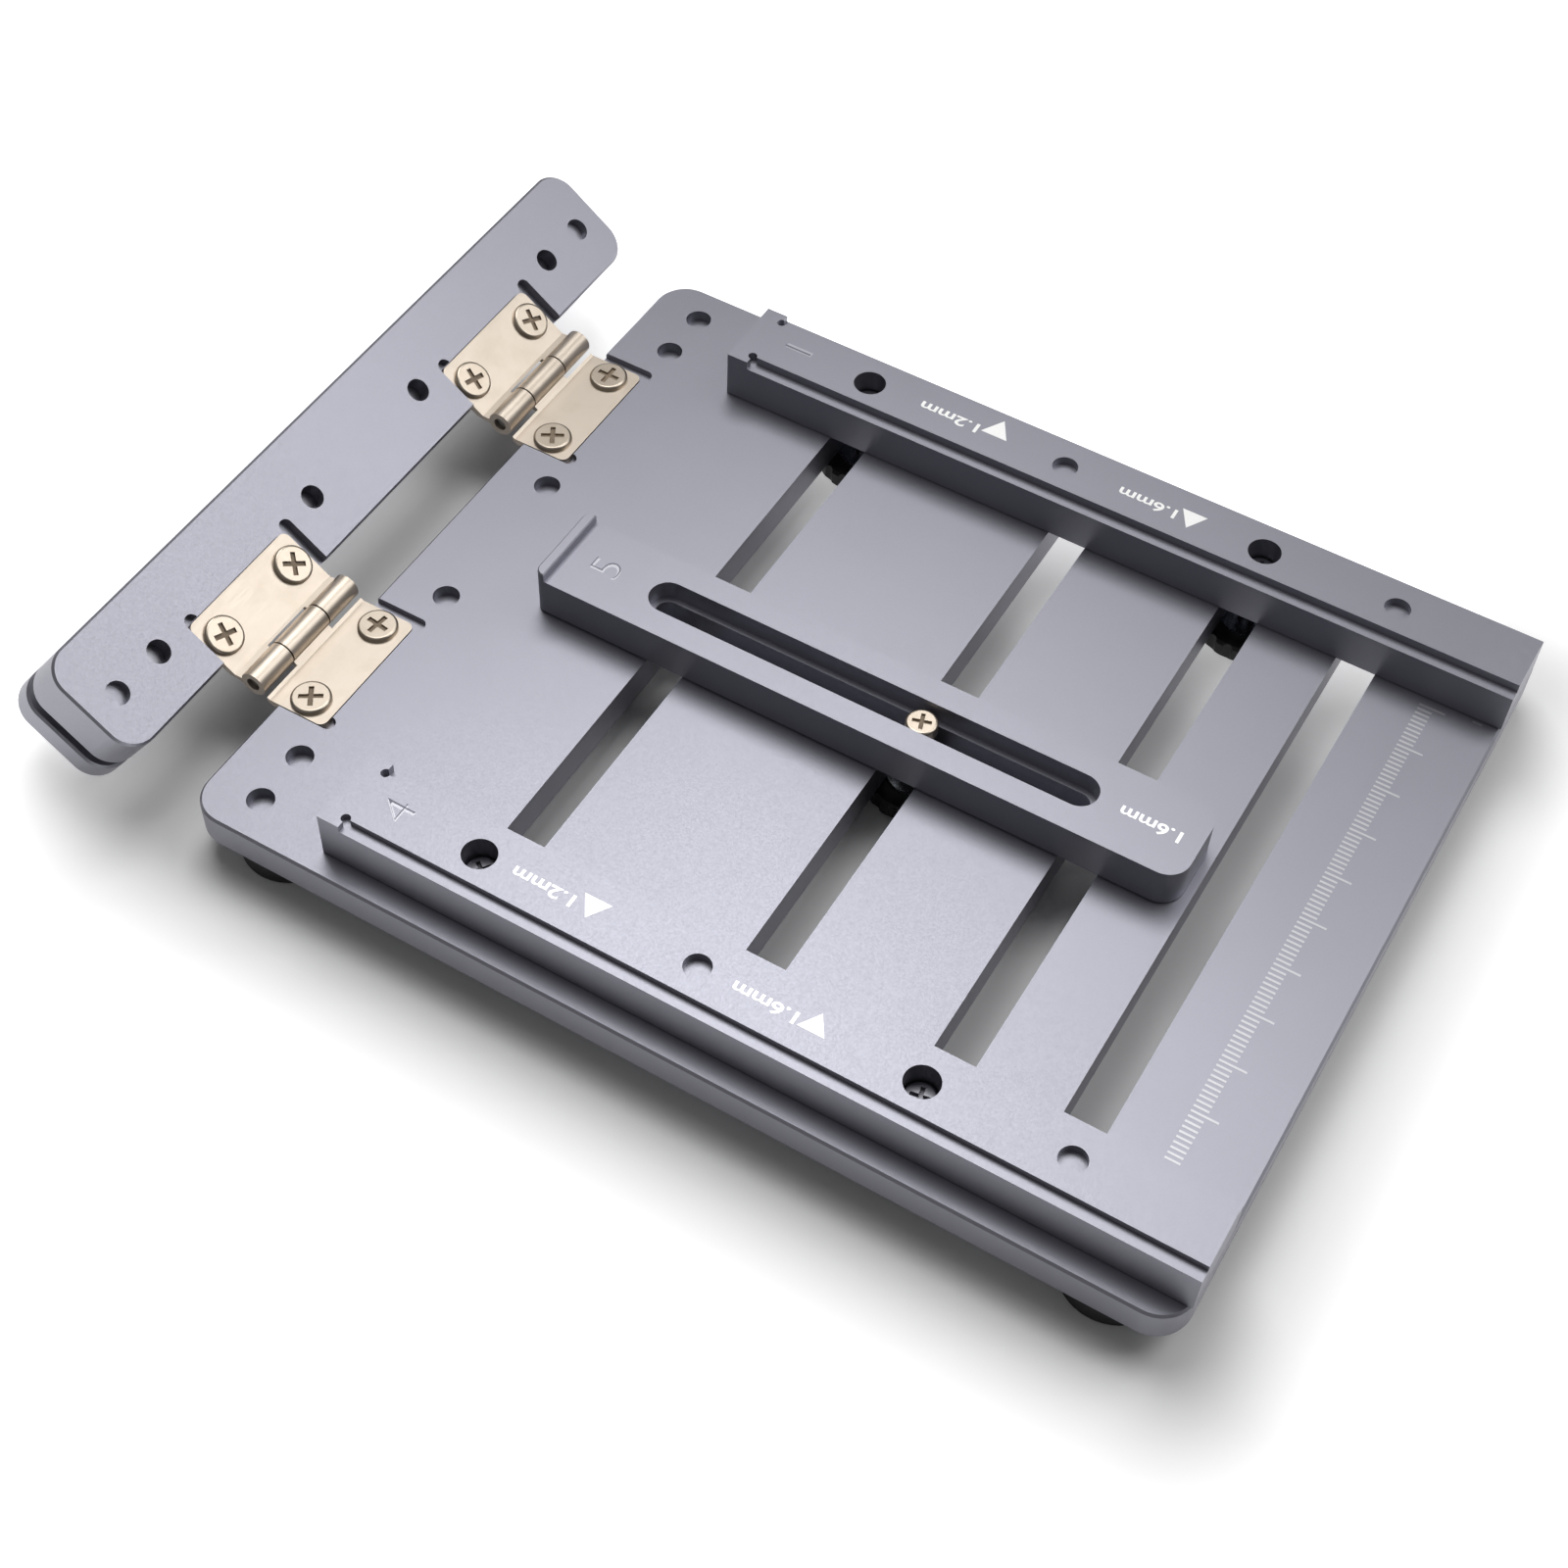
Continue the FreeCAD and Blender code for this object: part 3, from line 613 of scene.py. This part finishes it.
@dataclass
class Rail:
    """One stepped rail with its number and its two board thicknesses."""

    shelf: FinishShelf
    side: str
    marks: RailMarks
    figure: float = 2.3 * MM

    def build(self) -> None:
        """Print the thicknesses, and paint the engraved number's lit and shaded walls."""
        node = f"rail_{self.side}"
        low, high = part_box(node)
        middle = (low.x + high.x) / 2
        film = Marking(high.z)
        pieces = []
        for text, place, tip, points in (
                ("1.2mm", self.marks.thin_text, self.marks.thin_tip, self.marks.thin_points),
                ("1.6mm", self.marks.thick_text, self.marks.thick_tip, self.marks.thick_points)):
            x, near, far = (value * MM for value in place)
            pieces.append(film.lettering(text, (middle + x, low.y + near), self.figure, far - near,
                                         weight=BOARD_TEXT_WEIGHT))
            base_x, base_y, side, height = (value * MM for value in tip)
            pieces.append(film.triangle((middle + base_x, low.y + base_y), side, height, points))
        print_piece = join(pieces, f"{node}_board_marks")
        fit_out(print_piece, f"{node}_group", self.shelf.take(LASER))
        x, y, width = (value * MM for value in self.marks.number_at)
        EngravedFigure(self.shelf, self.marks.number, high.z).build(
            f"{node}_number", f"{node}_group", (middle + x, low.y + y), width)


@dataclass
class CentreSupport:
    """The slotted centre bar with its number and its board thickness."""

    shelf: FinishShelf
    figure: float = 2.4 * MM
    seat_depth: float = 1.6 * MM
    text_at: tuple[float, float] = (0.9 * MM, 3.4 * MM)
    text_length: float = 10.4 * MM
    number_at: tuple[float, float] = (-1.4 * MM, 106.0 * MM)
    number_width: float = 3.2 * MM

    def build(self) -> None:
        """Print the thickness, and paint the engraved number's lit and shaded walls on the bar's seat face."""
        low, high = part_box("centre_bar")
        middle = (low.x + high.x) / 2
        film = Marking(high.z - self.seat_depth)
        x, y = self.text_at
        text = film.lettering("1.6mm", (middle + x, low.y + y), self.figure, self.text_length,
                              weight=BOARD_TEXT_WEIGHT)
        text.name = "centre_bar_board_mark"
        fit_out(text, "centre_bar_sliding", self.shelf.take(LASER))
        x, y = self.number_at
        EngravedFigure(self.shelf, "5", film.level).build(
            "centre_bar_number", "centre_bar_sliding", (middle + x, low.y + y), self.number_width)


# From the hinge axis: the row of the leaf screws along the bar, and the tops of their heads above it
LEAF_ROW = 8.65 * MM
LEAF_HEAD_TOP = -1.1 * MM
BAR_TILT = 36.0


@dataclass(frozen=True)
class CrossRecess:
    """A brown film on the floor of a nickel screw's cross recess: painted shade for the dark inside the recess.
    """

    screw: str
    body: str
    turn: float
    tilt: float = 0.0
    reach: float = 2.0 * MM
    half: float = 0.41 * MM
    below_top: float = 0.66 * MM
    fill: float = 0.26 * MM

    def build(self, shelf: FinishShelf) -> None:
        """Lay the painted shade on the recess's floor.

        Args:
            shelf: the finishes.
        """
        floor = Marking(0.0, self.fill).cross(self.reach, self.half)
        floor.name = f"{self.screw}_recess_painted_shade"
        floor.matrix_world = self.seat() @ Matrix.Rotation(math.radians(self.turn), 4, "Z")
        settle(floor)
        fit_out(floor, self.body, shelf.take(RECESS_SHADE))

    def seat(self) -> Matrix:
        """The frame of the recess's floor: on the axis of the screw, its Z along the screw."""
        low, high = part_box(self.screw)
        centre = (low + high) / 2
        if not self.tilt:
            return Matrix.Translation((centre.x, centre.y, high.z - self.below_top))
        pin_low, pin_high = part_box("hinge_left_pin")
        axis = (pin_low + pin_high) / 2
        across = Matrix.Rotation(math.radians(self.tilt), 4, "X")
        rise = LEAF_HEAD_TOP - self.below_top
        return Matrix.Translation((centre.x, axis.y, axis.z)) @ across @ Matrix.Translation((0, LEAF_ROW, rise))


# Columns: the camera's right, up and backward directions
CAMERA_TURN = Matrix((
    (0.505894, 0.673858, -0.538504),
    (-0.862013, 0.417879, -0.286900),
    (0.031700, 0.609338, 0.792276)))


@dataclass(frozen=True)
class Softbox:
    """A square soft lamp: where it hangs, the point that it faces, the length of its side, and its watts."""

    name: str
    place: tuple[float, float, float]
    target: tuple[float, float, float]
    size: float
    power: float

    def hang(self) -> None:
        """Put the lamp in the scene."""
        lamp = bpy.data.lights.new(self.name, "AREA")
        lamp.shape = "SQUARE"
        lamp.size = self.size
        lamp.energy = self.power
        holder = bpy.data.objects.new(self.name, lamp)
        bpy.context.scene.collection.objects.link(holder)
        holder.location = self.place
        aim = Vector(self.place) - Vector(self.target)
        holder.rotation_euler = aim.to_track_quat("Z", "Y").to_euler()


@dataclass
class Studio:
    """A pale table, two soft lamps overhead and on the right, and a room with light on its left and right."""

    lamps: tuple[Softbox, ...] = (
        Softbox("key_softbox", (0.26, 0.22, 0.84), (0.0, 0.0, 0.0), 0.55, 4.35),
        Softbox("side_softbox", (0.38, -0.43, 0.65), (0.0, 0.09, 0.0), 0.5, 2.6))
    floor_half: float = 1.2
    floor_level: float = -0.2 * MM
    floor_colour: str = "#EDEDED"
    floor_glow: float = 0.72
    glow_reach: float = 0.035
    lit_side_from: float = 0.03
    ruler_shade: float = 0.022
    rear_light: float = 0.015
    room_dark: float = 0.045
    room_bright: float = 0.27
    room_left: float = 0.26
    camera_at: tuple[float, float, float] = (-0.23496, -0.12496, 0.32794)
    lens: float = 57.72

    def build(self) -> None:
        """Set the floor, the lamps, the room and the camera."""
        self.lay_floor()
        for lamp in self.lamps:
            lamp.hang()
        self.light_room()
        self.stand_camera()

    def lay_floor(self) -> None:
        """A floor that reads white around the object and keeps its shadow."""
        deselect_all()
        bpy.ops.mesh.primitive_plane_add(size=2 * self.floor_half, location=(0, 0, self.floor_level))
        floor = active_object()
        floor.name = "table"
        settle(floor)
        material, tree, shader = new_material("matt_table_board")
        grain = add_node(tree, "ShaderNodeTexNoise", {"Vector": object_coordinates(tree), "Scale": 900.0})
        rough = ramp(tree, grain.outputs[0], (0.0, 1.0), (0.85, 0.95))
        tree.links.new(rough, shader.inputs["Roughness"])
        shader.inputs["Base Color"].default_value = linear(self.floor_colour)
        shader.inputs["Specular IOR Level"].default_value = 0.0
        glow = combine(tree, "MULTIPLY", self.open_floor(tree), self.floor_glow)
        strength = combine(tree, "MULTIPLY", self.shown_rays(tree), glow)
        tree.links.new(strength, shader.inputs["Emission Strength"])
        shader.inputs["Emission Color"].default_value = (1, 1, 1, 1)
        floor.data.materials.append(material)

    def open_floor(self, tree: bpy.types.NodeTree) -> bpy.types.NodeSocket:
        """How far the floor glows, from 0 to 1.

        The glow fades towards the object, so that its shadow stays as deep as the lamps leave it. It comes
        further in at the rear and under the right side, where the photograph's shadow is thinner.
        """
        low, high = CAD_BOX
        place = object_coordinates(tree)
        moved = add_node(tree, "ShaderNodeVectorMath", {
            0: place, 1: (0.0, self.rear_light, 0.0)}, operation="ADD")
        away = add_node(tree, "ShaderNodeVectorMath", {0: moved.outputs[0]}, operation="ABSOLUTE")
        apart = add_node(tree, "ShaderNodeVectorMath", {
            0: away.outputs[0], 1: (high.x, high.y - self.rear_light, 0.0)}, operation="SUBTRACT")
        clear = add_node(tree, "ShaderNodeVectorMath", {
            0: apart.outputs[0], 1: (0.0, 0.0, 0.0)}, operation="MAXIMUM")
        gap = add_node(tree, "ShaderNodeVectorMath", {0: clear.outputs[0]}, operation="LENGTH")
        around = ramp(tree, gap.outputs["Value"], (0.0, self.glow_reach), eased=True)
        x, y, _ = add_node(tree, "ShaderNodeSeparateXYZ", {0: place}).outputs
        lit_side = ramp(tree, x, (self.lit_side_from, high.x), eased=True)
        behind_ruler = ramp(tree, y, (low.y, low.y + self.ruler_shade), eased=True)
        return combine(tree, "MAXIMUM", around, combine(tree, "MULTIPLY", lit_side, behind_ruler))

    def shown_rays(self, tree: bpy.types.NodeTree) -> bpy.types.NodeSocket:
        """1 for rays that show the backdrop: seen, mirrored or through glass."""
        path = add_node(tree, "ShaderNodeLightPath").outputs
        first = combine(tree, "MAXIMUM", path["Is Camera Ray"], path["Is Glossy Ray"])
        return combine(tree, "MAXIMUM", first, path["Is Transmission Ray"])

    def light_room(self) -> None:
        """A room that is plain white where it is seen, and otherwise dim with light on its left and right."""
        world = bpy.data.worlds.new("room")
        bpy.context.scene.world = world
        world.use_nodes = True
        tree = world.node_tree
        tree.nodes.clear()
        heading = add_node(tree, "ShaderNodeTexCoord").outputs["Generated"]
        sideways, _, upward = add_node(tree, "ShaderNodeSeparateXYZ", {0: heading}).outputs
        rising = ramp(tree, sideways, (-0.5, 0.6), (self.room_dark, self.room_bright))
        falling = ramp(tree, sideways, (0.45, 0.75), (1.0, 0.2))
        right = combine(tree, "MULTIPLY", rising, falling)
        # The left light stands high, so that it reaches level faces and leaves upright ones dark
        left_wall = ramp(tree, sideways, (-0.1, -0.6), (0.0, self.room_left))
        left = combine(tree, "MULTIPLY", left_wall, ramp(tree, upward, (0.1, 0.5), eased=True))
        seen = add_node(tree, "ShaderNodeLightPath").outputs["Is Camera Ray"]
        strength = combine(tree, "MAXIMUM", combine(tree, "MAXIMUM", right, left), seen)
        glow = add_node(tree, "ShaderNodeBackground", {"Color": (1, 1, 1, 1), "Strength": strength})
        add_node(tree, "ShaderNodeOutputWorld", {"Surface": glow.outputs[0]})

    def stand_camera(self) -> None:
        """The camera where the photograph was taken, turned as it was."""
        data = bpy.data.cameras.new("camera")
        data.lens = self.lens
        data.sensor_width = 36.0
        data.sensor_fit = "HORIZONTAL"
        data.clip_start = 0.01
        camera = bpy.data.objects.new("camera", data)
        bpy.context.scene.collection.objects.link(camera)
        camera.matrix_world = Matrix.Translation(self.camera_at) @ CAMERA_TURN.to_4x4()
        bpy.context.scene.camera = camera


# How far each cross recess is turned, on the base leaf and on the bar leaf
RECESS_TURNS = {
    "left": {"outer": (33, 70), "inner": (82, 50)},
    "right": {"inner": (30, 75), "outer": (0, 65)},
}


def cross_recesses() -> list[CrossRecess]:
    """The recess of every nickel screw."""
    recesses = [CrossRecess("centre_screw", "centre_carriage", 18, reach=1.58 * MM, half=0.32 * MM)]
    for side, ends in RECESS_TURNS.items():
        for end, (on_base, on_bar) in ends.items():
            recesses.append(CrossRecess(f"hinge_{side}_base_screw_{end}", "base", on_base))
            recesses.append(CrossRecess(f"hinge_{side}_bar_screw_{end}", "hinge_bar_group", on_bar, BAR_TILT))
    return recesses


RAIL_MARKS = {
    "left": RailMarks("4", (-1.5, 135.7, 3.5), (1.2, 106.2, 117.0), (2.4, 103.2, 4.8, 3.8),
                      (0.9, 67.6, 78.4), (-1.1, 64.8, 4.6, 3.6), Pointing.LEFT, Pointing.RIGHT),
    "right": RailMarks("1", (0.3, 135.4, 1.1), (1.2, 101.5, 112.8), (0.0, 98.4, 5.0, 4.2),
                       (0.9, 63.4, 74.1), (1.8, 60.7, 4.6, 3.9), Pointing.RIGHT, Pointing.LEFT),
}


def main() -> None:
    """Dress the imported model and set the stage."""
    logging.basicConfig(level=logging.INFO)
    shelf = FinishShelf()
    shelf.dress_frame()
    BasePlate(shelf).build()
    for side, marks in RAIL_MARKS.items():
        Rail(shelf, side, marks).build()
    CentreSupport(shelf).build()
    for recess in cross_recesses():
        recess.build(shelf)
    Studio().build()
    bpy.context.scene.view_settings.view_transform = "Standard"


if __name__ == "__main__":
    main()
